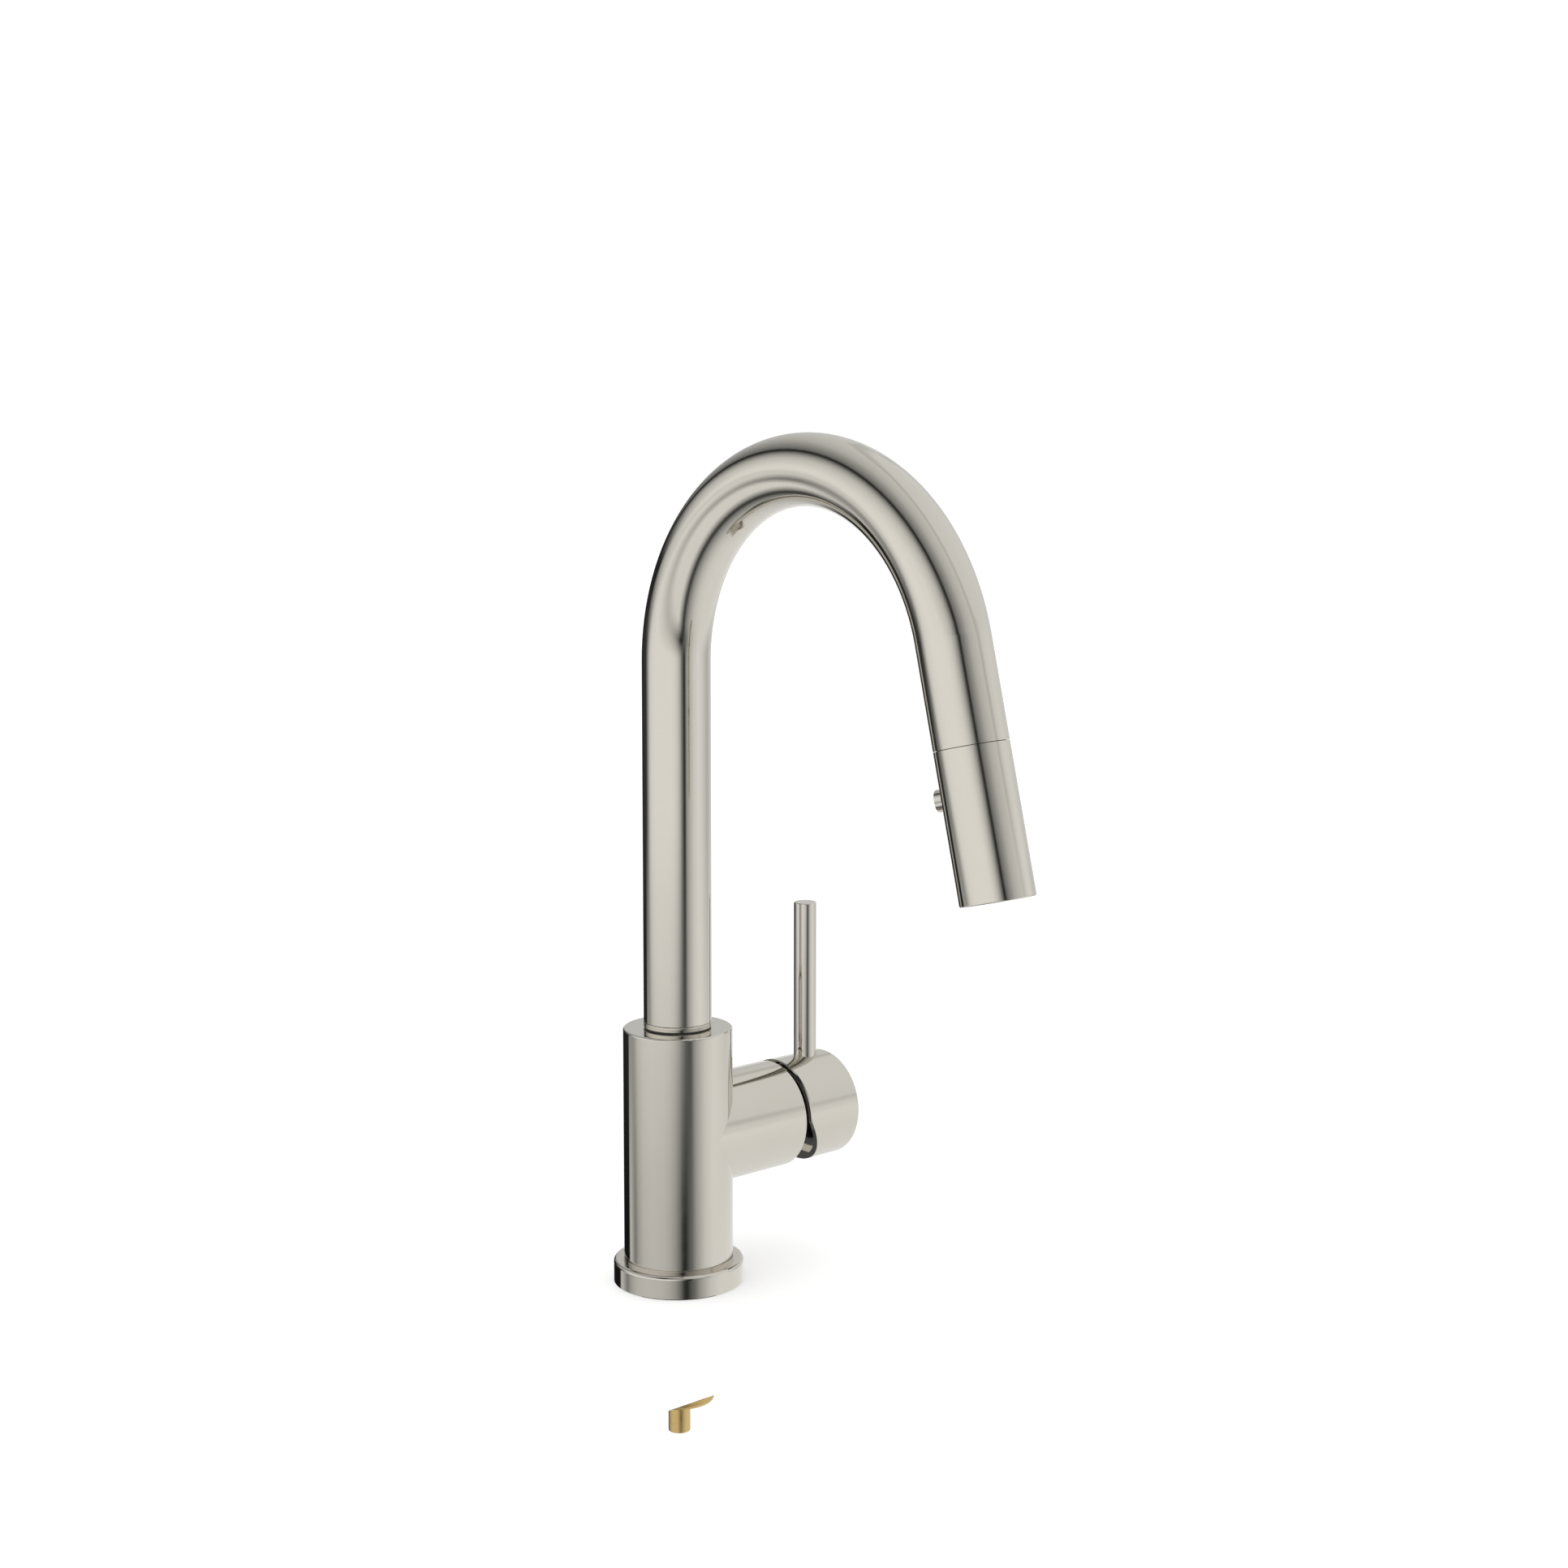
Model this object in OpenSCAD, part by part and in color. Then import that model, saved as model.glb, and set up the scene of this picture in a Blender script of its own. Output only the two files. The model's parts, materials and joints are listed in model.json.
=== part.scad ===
// Pull-down kitchen faucet with a round gooseneck spout and a side lever.
// Millimetres. +Z is up. The origin is the centre of the base flange's underside,
// on the deck. The spout reaches towards -Y and the handle points towards +X.

/* [Spout] */
// Outer diameter of the spout tube
tube_d = 32; // [30:0.5:36]
// Wall of the spout tube
tube_wall = 1.5; // [1.2:0.1:2]
// Height above the deck at which the arch starts
riser_top = 293.2; // [240:1:360]
// Radius of the arch's centreline
arch_r = 89.5; // [75:0.5:120]
// Angle that the arch turns through
arch_angle = 166; // [150:1:180]
// Straight tube past the arch, down to the seam
spout_end_len = 44.4; // [42:0.2:60]
// Height of the ring that the spout stands on
foot_ring_h = 2.6; // [2.2:0.1:6]
// Open groove between the foot ring and the tube
foot_groove_h = 0.2; // [0.2:0.1:2]
// Radius of the swivel insert where it turns in its bushes
journal_r = 12.6; // [11.5:0.1:13]
// Outer radius of the swivel bushes, which is the bore of the body's top
bush_r = 14.4; // [14:0.1:15]

/* [Wand] */
// Visible length of the pull-down wand
wand_len = 64.1; // [60:0.1:90]
// Hairline gap between the spout and the wand
seam_gap = 0.3; // [0.2:0.05:0.6]
// Length of the wand's neck inside the spout
neck_len = 16; // [14:0.5:20]
// Radius of the wand's neck
neck_r = 11; // [10.5:0.1:11.5]
// Distance from the seam to the middle of the button
button_drop = 19.5; // [18:0.5:26]
// Width of the button, around the wand
button_w = 20; // [14:0.5:21]
// Height of the button, along the wand
button_h = 9.6; // [8:0.2:12]
// How far the button stands out of the wand
button_proud = 3.4; // [2.4:0.1:4]
// Number of rubber nozzles
nozzle_count = 20; // [12:1:24]
// Radius of the circle of nozzles
nozzle_circle_r = 11.4; // [11:0.1:11.8]
// Outer radius of the aerator's housing
aerator_r = 8.4; // [7.5:0.1:8.8]

/* [Body] */
// Radius of the upright body
body_r = 25.7; // [25.6:0.1:31]
// Height of the body's flat top above the deck
body_top = 121.3; // [114:0.5:150]
// Radius of the hose passage through the body
passage_r = 7.4; // [7:0.1:7.6]
// Radius of the flange on the deck
flange_r = 30.6; // [29.5:0.5:40]
// Height of the flange's side wall
flange_h = 10.9; // [8:0.1:14]

/* [Handle] */
// Height of the handle's axis above the deck
handle_z = 68.9; // [64:0.5:78]
// Radius of the side branch and of the handle's hub
branch_r = 25.5; // [24.8:0.1:25.6]
// Distance from the body's axis to the branch's rim
branch_x = 58.8; // [58:0.1:62]
// Gap between the branch's rim and the hub, at the top
hub_gap = 3.5; // [3:0.1:5]
// Length of the hub
hub_len = 31.5; // [28:0.5:40]
// Angle of the wedge cut away under the hub, which gives the lever its tilt
hub_wedge = 27; // [26:1:32]
// Radius of the lever rod
rod_r = 5.5; // [4.5:0.05:7]
// Distance from the hub's outer end to the rod's axis
rod_inset = 12.6; // [11:0.1:14]
// Height of the lever rod's top above the deck
rod_top = 170; // [150:1:210]

/* [Cartridge] */
// Radius of the cartridge
cart_r = 17.4; // [17:0.1:17.8]
// Distance from the body's axis to the cartridge's seat
seat_x = 22; // [21.5:0.5:23]
// Distance from the body's axis to the stem's pivot
pivot_x = 42; // [41.5:0.1:42.5]
// Distance from the pivot to the middle of the stem's ball
ball_drop = 6.7; // [6.4:0.1:6.9]
// Side of the square stem
stem_w = 9; // [8:0.5:9.5]
// Radius of the pivot pin
pin_r = 1.5; // [1.2:0.1:1.8]

/* [Mounting] */
// Radius of the threaded shank through the deck
shank_r = 17; // [16.5:0.1:17.2]
// Bore radius of the shank
shank_bore_r = 15; // [14.8:0.1:15.2]
// Length of the shank below the deck
shank_drop = 58; // [50:1:80]
// Thickness of the deck that the faucet is clamped to
deck_t = 35; // [20:1:40]
// Radius of the circle that the three water sockets lie on
socket_circle_r = 11; // [11:0.1:11.2]
// Bore radius of each water socket
socket_r = 3.5; // [3:0.1:3.6]
// Depth of each water socket
socket_depth = 10; // [8:0.5:11]

/* [Hose] */
// Radius of the braided hose
hose_r = 6; // [5.5:0.1:6.2]

/* [Hidden] */
$fn = 96;

// Clearances
run_gap = 0.05;         // radial gap of a running fit
slip_gap = 0.04;        // radial gap of parts that are pushed together
near_gap = 0.3;         // gap between curved faces that pass each other
cut = 1;                // how far a cutting solid runs past a face

// Colours
nickel = [0.72, 0.70, 0.65];
brass = [0.78, 0.66, 0.36];
steel = [0.62, 0.63, 0.64];
black_rubber = [0.12, 0.12, 0.12];
grey_plastic = [0.32, 0.33, 0.34];
white_plastic = [0.88, 0.88, 0.86];
ceramic_white = [0.93, 0.92, 0.89];
braid_grey = [0.45, 0.46, 0.47];

// Spout
tube_r = tube_d / 2;
tube_bore_r = tube_r - tube_wall;
slip_washer_t = 0.5;
foot_z = body_top + slip_washer_t;
tube_z = foot_z + foot_ring_h + foot_groove_h;

// Body: the heights of its chambers, from the bottom
gasket_outer_r = flange_r - 1.5;
gasket_inner_r = flange_r - 4;
gasket_t = 1.2;
flange_edge_r = 1.6;
foot_step_h = 1.2;
foot_groove = 0.3;
body_z = flange_h + foot_step_h + foot_groove;
block_z = 20;
block_top = 34;
lower_bore_r = shank_r + run_gap;
block_r = shank_r - 0.4;
top_bore_z = body_top - 20.5;
clip_chamber_h = 14;
clip_chamber_r = 18;
edge_r = 0.9;           // rounding of the outer edges
edge_steps = 4;         // flats that make up one rounded edge

// Swivel
bush_h = 6;
upper_bush_z = body_top - 1 - bush_h;
lower_bush_z = top_bore_z + 0.5;
oring_r = 0.9;
oring_z = (upper_bush_z + lower_bush_z + bush_h) / 2;
clip_t = 1.5;
clip_z = top_bore_z - near_gap - clip_t;
clip_groove = 0.9;
insert_z = clip_z - 2.5;
insert_bore_r = 9.6;
insert_top = tube_z + 16;
insert_collar_r = tube_bore_r - slip_gap;

// Water ways in the casting: the two inlets at each side and the outlet in the middle
way_r = 2.5;
inlet_angle = 50;
inlet_y = socket_circle_r * sin(inlet_angle);
inlet_x = socket_circle_r * cos(inlet_angle);
outlet_drop = 8;
way_angles = [-inlet_angle, 0, inlet_angle];

// Cartridge, along the branch's axis
seal_t = 0.5;
base_x = seat_x + seal_t;
base_t = 3.5;
disc_x = base_x + base_t;
fixed_disc_t = 4;
moving_disc_x = disc_x + fixed_disc_t;
moving_disc_t = 3.5;
moving_disc_r = 11;
driver_x = moving_disc_x + moving_disc_t;
driver_t = 3.3;
driver_r = 9;
cart_wall = 1.7;
cart_bore_r = cart_r - cart_wall;
carrier_x = driver_x + driver_t + 1.2;
carrier_end = 45.5;
lip_x = carrier_end + 0.2;
lip_end = lip_x + 1.4;
lip_r = 12;
nut_x = lip_end;
nut_len = 7;
nut_r = branch_r - 3.8;
nut_bore_r = 13;
trim_x = nut_x + nut_len;
trim_end = branch_x + 2.7;
trim_r = nut_r - 1;
trim_bore_r = 17;
ball_r = 1.7;
ball_gap = 0.15;
ball_neck_r = 1.1;
ball_x = pivot_x - ball_drop;
stem_start = pivot_x - 3.5;
stem_gap = 0.2;
max_lift = 25;          // how far the lever tilts outwards
window_h = stem_w / cos(max_lift) + 2 * (carrier_end - pivot_x) * tan(max_lift) + 2 * stem_gap;
pin_len = 26;

// Handle
hub_x = branch_x + hub_gap;
hub_end = hub_x + hub_len;
rod_x = hub_end - rod_inset;
hub_cavity_r = branch_r - 2.3;
hub_cavity_depth = 10;
stem_socket_x = hub_x + hub_cavity_depth;
stem_end = rod_x + 2;
rod_spigot_r = 3.5;
rod_spigot_z = handle_z + stem_w / 2 + 2;
rod_shoulder_z = handle_z + 16;
screw_x = stem_socket_x + 4.5;
screw_r = 2.5;
screw_len = 11.5;
screw_hex_w = 2.9;
plug_len = 2.2;

// Wand, along its own axis from the end of the arch
wand_top = spout_end_len + seam_gap;
wand_end = spout_end_len + wand_len;
neck_top = spout_end_len - neck_len;
core_r = tube_bore_r - slip_gap;
core_top = wand_top + 1.4;
core_end = wand_end - 19;
water_r = 4;
ferrule_thread_r = 7;
ferrule_thread_len = 9;
ferrule_hex_r = 9;
ferrule_hex_len = 7;
ferrule_sleeve_len = 7;
ferrule_top = neck_top - ferrule_hex_len - ferrule_sleeve_len;
hose_gasket_t = 1;
collar_bore_r = neck_r + 1.6;
collar_top = neck_top - 2;
button_s = wand_top + button_drop;
button_r = tube_r + button_proud;
button_skirt_y = -10.4;
pocket_y = -7.2;
window_gap = 0.3;
spool_r = 2.2;
spool_len = 12;
spring_r = 3.6;
spring_wire_r = 0.35;
plate_s = core_end + 4;
plate_t = 2;
face_s = wand_end - 8;
face_inset = 0.6;
face_end = wand_end - face_inset;
nozzle_r = 0.9;
nozzle_web_t = 1.2;
mesh_t = 1.2;

// Under the deck
rubber_t = 3;
washer_t = 2.5;
nut_h = 9;
under_nut_r = 25;
washer_r = 29;
clamp_screw_r = 2.5;
clamp_screw_circle_r = 21;
rubber_z = -deck_t - rubber_t;
washer_z = rubber_z - washer_t;
under_nut_z = washer_z - nut_h;
connector_len = 16;

// Points of a circular arc, for a rounded corner of a profile
function arc_points(centre, r, from, to, steps) =
    [for (i = [0 : steps]) centre + r * [cos(from + (to - from) * i / steps),
                                         sin(from + (to - from) * i / steps)]];

// A coil spring along Z: a wire of hexagonal section, swept along a helix
module coil_spring(r, wire_r, height, turns) {
    sides = 6;
    steps = turns * 16;
    points = [for (i = [0 : steps]) for (k = [0 : sides - 1])
        let (turn = 360 * turns * i / steps, around = 360 * k / sides)
        [(r + wire_r * cos(around)) * cos(turn), (r + wire_r * cos(around)) * sin(turn),
         height * i / steps + wire_r * sin(around)]];
    walls = [for (i = [0 : steps - 1]) for (k = [0 : sides - 1])
        let (next = (k + 1) % sides)
        [i * sides + k, (i + 1) * sides + k, (i + 1) * sides + next, i * sides + next]];
    caps = [[for (k = [0 : sides - 1]) k], [for (k = [sides - 1 : -1 : 0]) steps * sides + k]];
    polyhedron(points = points, faces = concat(walls, caps));
}

// A solid round bar along Z
module bar(r, from, to) translate([0, 0, from]) cylinder(r = r, h = to - from);

// A tube along Z
module tube(outer, inner, from, to) {
    difference() {
        bar(outer, from, to);
        bar(inner, from - cut, to + cut);
    }
}

// Turns +Z into the handle's axis, +X
module along_branch() translate([0, 0, handle_z]) rotate([0, 90, 0]) children();

// Turns +Z into the wand's axis, from the end of the arch down and outwards
module along_wand() {
    translate([0, arch_r * (cos(arch_angle) - 1), riser_top + arch_r * sin(arch_angle)])
        rotate([arch_angle, 0, 0]) children();
}

// Turns the XY plane into the upright plane of the arch, with the arch's centre at its middle
module in_arch_plane() translate([0, -arch_r, riser_top]) rotate([90, 0, 90]) children();

// An upright rounded slot, which the button and its window are cut from.
// It stands on the back of the wand, which is -Y in the wand's frame.
module button_outline(grow, from_y, to_y) {
    half = (button_w - button_h) / 2;
    translate([0, to_y, button_s]) rotate([-90, 0, 0]) linear_extrude(from_y - to_y) {
        translate([-half, 0]) circle(r = button_h / 2 + grow);
        translate([half, 0]) circle(r = button_h / 2 + grow);
        square([2 * half, button_h + 2 * grow], center = true);
    }
}

// ---- Base and body ----

module base_flange() {
    color(nickel) difference() {
        rotate_extrude() polygon(concat(
            [[shank_r + near_gap, 0], [flange_r - 0.4, 0], [flange_r, 0.4]],
            arc_points([flange_r - flange_edge_r, flange_h - flange_edge_r], flange_edge_r, 0, 90, edge_steps),
            [[shank_r + near_gap, flange_h]]));
        tube(gasket_outer_r, gasket_inner_r, -cut, gasket_t);
    }
}

module deck_gasket() {
    color(black_rubber) tube(gasket_outer_r, gasket_inner_r, 0, gasket_t);
}

module body_casting() {
    step_r = body_r + 0.3;
    step_top = flange_h + foot_step_h;
    groove_r = body_r - 0.5;
    color(nickel) difference() {
        union() {
            rotate_extrude() polygon(concat(
                [[0, flange_h], [step_r, flange_h], [step_r, step_top], [groove_r, step_top],
                 [groove_r, body_z], [body_r, body_z]],
                arc_points([body_r - edge_r, body_top - edge_r], edge_r, 0, 90, edge_steps),
                [[0, body_top]]));
            along_branch() bar(branch_r, 0, branch_x);
        }
        // Passage for the hose, with wider bores at both ends
        bar(lower_bore_r, 0, block_top);
        bar(passage_r, block_top - cut, top_bore_z);
        bar(clip_chamber_r, top_bore_z - clip_chamber_h, top_bore_z);
        bar(bush_r, top_bore_z - cut, body_top + cut);
        // Seat of the cartridge and the thread of its nut
        along_branch() bar(cart_r + slip_gap, seat_x, branch_x);
        along_branch() bar(nut_r + slip_gap, nut_x - near_gap, branch_x + cut);
        // Water ways up from the inlet block, and across to the cartridge's seat
        for (side = [-1, 1]) {
            translate([inlet_x, side * inlet_y, 0]) bar(way_r, block_top - cut, handle_z);
            along_branch() translate([0, side * inlet_y, 0]) bar(way_r, inlet_x, seat_x + cut);
        }
        translate([socket_circle_r, 0, 0]) bar(way_r, block_top - cut, handle_z - outlet_drop);
        along_branch() translate([outlet_drop, 0, 0])
            bar(way_r, socket_circle_r, seat_x + cut);
    }
}

module inlet_block() {
    color(brass) difference() {
        bar(block_r, block_z, block_top);
        bar(passage_r, block_z - cut, block_top + cut);
        for (a = way_angles) rotate([0, 0, a]) translate([socket_circle_r, 0, 0]) {
            bar(socket_r, block_z - cut, block_z + socket_depth);
            bar(way_r, block_z, block_top + cut);
        }
    }
}

module shank() {
    color(brass) tube(shank_r, shank_bore_r, -shank_drop, block_z);
}

module rubber_washer() {
    color(black_rubber) tube(washer_r, shank_r + near_gap, rubber_z, rubber_z + rubber_t);
}

module clamp_washer() {
    color(steel) tube(washer_r, shank_r + near_gap, washer_z, washer_z + washer_t);
}

module mounting_nut() {
    color(brass) difference() {
        bar(under_nut_r, under_nut_z, under_nut_z + nut_h);
        bar(shank_r + slip_gap, under_nut_z - cut, under_nut_z + nut_h + cut);
        for (side = [-1, 1]) translate([side * clamp_screw_circle_r, 0, 0])
            bar(clamp_screw_r + slip_gap, under_nut_z - cut, under_nut_z + nut_h + cut);
    }
}

module clamp_screws() {
    head_h = 3;
    color(steel) for (side = [-1, 1]) translate([side * clamp_screw_circle_r, 0, 0]) {
        difference() {
            union() {
                bar(clamp_screw_r, under_nut_z - head_h, washer_z);
                bar(clamp_screw_r + 1, under_nut_z - 2 * head_h, under_nut_z - head_h);
            }
            bar(1.5, under_nut_z - 2 * head_h - cut, under_nut_z - head_h, $fn = 6);
        }
    }
}

// ---- Spout swivel ----

module swivel_bushes() {
    color(white_plastic) for (z = [lower_bush_z, upper_bush_z])
        tube(bush_r - slip_gap, journal_r + run_gap, z, z + bush_h);
}

module slip_washer() {
    color(black_rubber) tube(tube_r - 0.5, journal_r + near_gap, body_top, foot_z);
}

module swivel_insert() {
    journal_end = body_top + slip_washer_t;
    color(brass) difference() {
        union() {
            bar(journal_r, insert_z, journal_end);
            bar(insert_collar_r, journal_end, insert_top);
        }
        bar(insert_bore_r, insert_z - cut, insert_top + cut);
        // Grooves for the O-ring and the snap ring
        tube(journal_r + cut, journal_r - oring_r, oring_z - oring_r - 0.2, oring_z + oring_r + 0.2);
        tube(journal_r + cut, journal_r - clip_groove, clip_z, clip_z + clip_t);
    }
}

module swivel_oring() {
    color(black_rubber) translate([0, 0, oring_z]) rotate_extrude()
        translate([journal_r + 0.1, 0]) circle(r = oring_r, $fn = 24);
}

module snap_ring() {
    opening = 5;
    color(steel) difference() {
        tube(journal_r + 2.6, journal_r - clip_groove + slip_gap, clip_z, clip_z + clip_t);
        translate([0, -opening / 2, clip_z - cut]) cube([journal_r * 2, opening, clip_t + 2 * cut]);
    }
}

module foot_ring() {
    color(nickel) rotate_extrude() polygon(concat(
        [[insert_collar_r + slip_gap, foot_z], [tube_r - 0.3, foot_z], [tube_r, foot_z + 0.3]],
        arc_points([tube_r - 0.4, foot_z + foot_ring_h - 0.4], 0.4, 0, 90, edge_steps),
        [[insert_collar_r + slip_gap, foot_z + foot_ring_h]]));
}

// A round bar bent along the arch
module arch(r) {
    in_arch_plane() rotate_extrude(angle = arch_angle) translate([arch_r, 0]) circle(r = r);
}

module spout_tube() {
    color(nickel) {
        tube(tube_r, tube_bore_r, tube_z, riser_top);
        difference() {
            arch(tube_r);
            arch(tube_bore_r);
        }
    }
}

module spout_end() {
    color(nickel) along_wand() tube(tube_r, tube_bore_r, 0, spout_end_len);
}

module dock_collar() {
    lip = 1.2;
    color(grey_plastic) along_wand() difference() {
        bar(tube_bore_r - slip_gap, collar_top, spout_end_len - 0.2);
        bar(collar_bore_r, collar_top + lip, spout_end_len + cut);
        bar(collar_bore_r - 1, collar_top - cut, spout_end_len);
    }
}

// ---- Hose ----

module hose() {
    color(braid_grey) {
        bar(hose_r, -shank_drop, riser_top);
        arch(hose_r);
    }
}

module hose_connector() {
    flange_t = 3;
    z = -shank_drop - connector_len;
    color(brass) difference() {
        union() {
            bar(hose_r + 1.2, -shank_drop - flange_t, -shank_drop);
            bar(hose_r - 0.8, z, -shank_drop - flange_t);
        }
        bar(hose_r - 3, z - cut, -shank_drop - flange_t);
    }
}

module hose_tail() {
    color(braid_grey) along_wand() bar(hose_r, 0.2, ferrule_top + 1);
}

// ---- Cartridge ----

// The three ports of the cartridge, in the branch's frame
module ports(r, from, to) {
    for (p = [[0, -inlet_y], [0, inlet_y], [outlet_drop, 0]])
        translate([p[0], p[1], 0]) bar(r, from, to);
}

module cartridge_seals() {
    color(black_rubber) along_branch() difference() {
        ports(way_r + 1.3, seat_x, base_x);
        ports(way_r, seat_x - cut, base_x + cut);
    }
}

module cartridge_base() {
    color(white_plastic) along_branch() difference() {
        bar(cart_r, base_x, disc_x);
        ports(way_r, base_x - cut, disc_x + cut);
    }
}

module fixed_disc() {
    color(ceramic_white) along_branch() difference() {
        bar(cart_bore_r - slip_gap, disc_x, moving_disc_x);
        ports(way_r, disc_x - cut, moving_disc_x + cut);
    }
}

module moving_disc() {
    chamber_r = 5.2;
    color(ceramic_white) along_branch() difference() {
        bar(moving_disc_r, moving_disc_x, driver_x);
        bar(chamber_r, moving_disc_x - cut, moving_disc_x + 1.8);
    }
}

module disc_driver() {
    color(grey_plastic) along_branch() difference() {
        bar(driver_r, driver_x, driver_x + driver_t);
        bar(ball_r + ball_gap, driver_x - cut, driver_x + driver_t + cut);
    }
}

module cartridge_housing() {
    color(white_plastic) along_branch() difference() {
        bar(cart_r, disc_x, lip_end);
        bar(cart_bore_r, disc_x - cut, lip_x);
        bar(lip_r, lip_x - cut, lip_end + cut);
    }
}

module stem_carrier() {
    color(grey_plastic) difference() {
        along_branch() bar(cart_bore_r - run_gap - 0.03, carrier_x, carrier_end);
        translate([carrier_x - cut, -stem_w / 2 - stem_gap, handle_z - window_h / 2])
            cube([carrier_end - carrier_x + 2 * cut, stem_w + 2 * stem_gap, window_h]);
        translate([pivot_x, 0, handle_z]) rotate([90, 0, 0])
            cylinder(r = pin_r, h = 2 * cart_r, center = true);
    }
}

module pivot_pin() {
    color(steel) translate([pivot_x, 0, handle_z]) rotate([90, 0, 0])
        cylinder(r = pin_r, h = pin_len, center = true);
}

module stem() {
    color(brass) difference() {
        union() {
            translate([stem_start, -stem_w / 2, handle_z - stem_w / 2])
                cube([stem_end - stem_start, stem_w, stem_w]);
            along_branch() bar(ball_neck_r, ball_x, stem_start + cut);
            translate([ball_x, 0, handle_z]) sphere(r = ball_r);
        }
        translate([pivot_x, 0, handle_z]) rotate([90, 0, 0])
            cylinder(r = pin_r + run_gap, h = 2 * stem_w, center = true);
    }
}

module cartridge_nut() {
    spanner_w = 4;
    color(brass) along_branch() difference() {
        bar(nut_r, nut_x, nut_x + nut_len);
        bar(nut_bore_r, nut_x - cut, nut_x + nut_len + cut);
        for (a = [0 : 60 : 120]) rotate([0, 0, a])
            translate([-branch_r, -spanner_w / 2, nut_x + nut_len - 2])
                cube([2 * branch_r, spanner_w, 2 + cut]);
    }
}

module trim_ring() {
    color(grey_plastic) along_branch() tube(trim_r, trim_bore_r, trim_x, trim_end);
}

// ---- Handle ----

module handle_hub() {
    rim = 0.5;
    hub_middle = (hub_x + hub_end) / 2;
    color(nickel) difference() {
        along_branch() rotate_extrude() polygon(concat(
            [[0, hub_x], [branch_r - rim, hub_x], [branch_r, hub_x + rim]],
            arc_points([branch_r - edge_r, hub_end - edge_r], edge_r, 0, 90, edge_steps),
            [[0, hub_end]]));
        // Hollow over the trim ring, and the wedge that lets the hub tilt
        along_branch() bar(hub_cavity_r, hub_x - cut, stem_socket_x);
        translate([hub_x, -2 * branch_r, handle_z]) rotate([0, 90 - hub_wedge, 0])
            translate([0, 0, -2 * branch_r]) cube([3 * branch_r, 4 * branch_r, 2 * branch_r]);
        // Socket of the stem, and the holes of the rod and the set screw
        translate([stem_socket_x - cut, -stem_w / 2 - slip_gap, handle_z - stem_w / 2 - slip_gap])
            cube([stem_end - stem_socket_x + cut + slip_gap, stem_w + 2 * slip_gap, stem_w + 2 * slip_gap]);
        translate([rod_x, 0, 0]) bar(rod_spigot_r + slip_gap, rod_spigot_z - slip_gap, rod_top);
        translate([rod_x, 0, 0]) bar(rod_r + slip_gap, rod_shoulder_z, rod_top);
        translate([screw_x, 0, handle_z]) rotate([-90, 0, 0]) bar(screw_r + slip_gap, 0, branch_r + cut);
    }
}

module lever_rod() {
    tip = 0.6;
    color(nickel) translate([rod_x, 0, 0]) {
        rotate_extrude() polygon(concat(
            [[0, rod_spigot_z], [rod_spigot_r, rod_spigot_z], [rod_spigot_r, rod_shoulder_z],
             [rod_r, rod_shoulder_z]],
            arc_points([rod_r - tip, rod_top - tip], tip, 0, 90, edge_steps),
            [[0, rod_top]]));
    }
}

module hub_set_screw() {
    start = stem_w / 2 + slip_gap;
    color(steel) translate([screw_x, 0, handle_z]) rotate([-90, 0, 0]) difference() {
        bar(screw_r, start, start + screw_len);
        bar(screw_hex_w / 2, start + screw_len - 3, start + screw_len + cut, $fn = 6);
    }
}

module screw_plug() {
    color(grey_plastic) translate([screw_x, 0, handle_z]) rotate([-90, 0, 0])
        bar(screw_r, branch_r - 0.4 - plug_len, branch_r - 0.4);
}

// ---- Wand ----

module wand_shell() {
    color(nickel) along_wand() difference() {
        rotate_extrude() polygon(concat(
            [[tube_bore_r, wand_top], [tube_r, wand_top]],
            arc_points([tube_r - 0.5, wand_end - 0.5], 0.5, 0, 90, edge_steps),
            [[tube_bore_r, wand_end]]));
        button_outline(window_gap, -button_skirt_y + cut - 20, -tube_r - cut);
    }
}

module wand_core() {
    color(white_plastic) along_wand() difference() {
        union() {
            bar(neck_r, neck_top, core_top);
            bar(core_r, core_top, core_end);
        }
        bar(ferrule_thread_r + slip_gap, neck_top - cut, neck_top + ferrule_thread_len + hose_gasket_t);
        bar(water_r, neck_top, core_end + cut);
        // Pocket for the button, and the bore of its spool
        button_outline(window_gap, pocket_y, -tube_r - cut);
        translate([0, 0, button_s]) rotate([90, 0, 0])
            bar(spool_r + run_gap, -spool_len / 2, -pocket_y + cut);
    }
}

module neck_oring() {
    color(black_rubber) along_wand() translate([0, 0, neck_top + 7]) rotate_extrude()
        translate([neck_r + 0.65, 0]) circle(r = 0.6, $fn = 24);
}

module hose_ferrule() {
    hex_s = neck_top - ferrule_hex_len;
    color(brass) along_wand() difference() {
        union() {
            bar(hose_r + 1.2, ferrule_top, hex_s);
            bar(ferrule_hex_r, hex_s, neck_top, $fn = 6);
            bar(ferrule_thread_r, neck_top, neck_top + ferrule_thread_len);
        }
        bar(hose_r + slip_gap, ferrule_top - cut, hex_s);
        bar(3, hex_s - cut, neck_top + ferrule_thread_len + cut);
    }
}

module hose_gasket() {
    s = neck_top + ferrule_thread_len;
    color(black_rubber) along_wand() tube(ferrule_thread_r, water_r, s, s + hose_gasket_t);
}

module check_valve() {
    s = neck_top + ferrule_thread_len + hose_gasket_t;
    color(grey_plastic) along_wand() tube(water_r - slip_gap, 2.4, s, s + 6);
}

module spray_button() {
    color(nickel) along_wand() difference() {
        intersection() {
            bar(button_r, button_s - button_h, button_s + button_h);
            button_outline(0, button_skirt_y, -button_r - cut);
        }
        translate([0, 0, button_s]) rotate([90, 0, 0])
            bar(spring_r + 0.9, -button_skirt_y - cut, -button_skirt_y + 3);
    }
}

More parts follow.
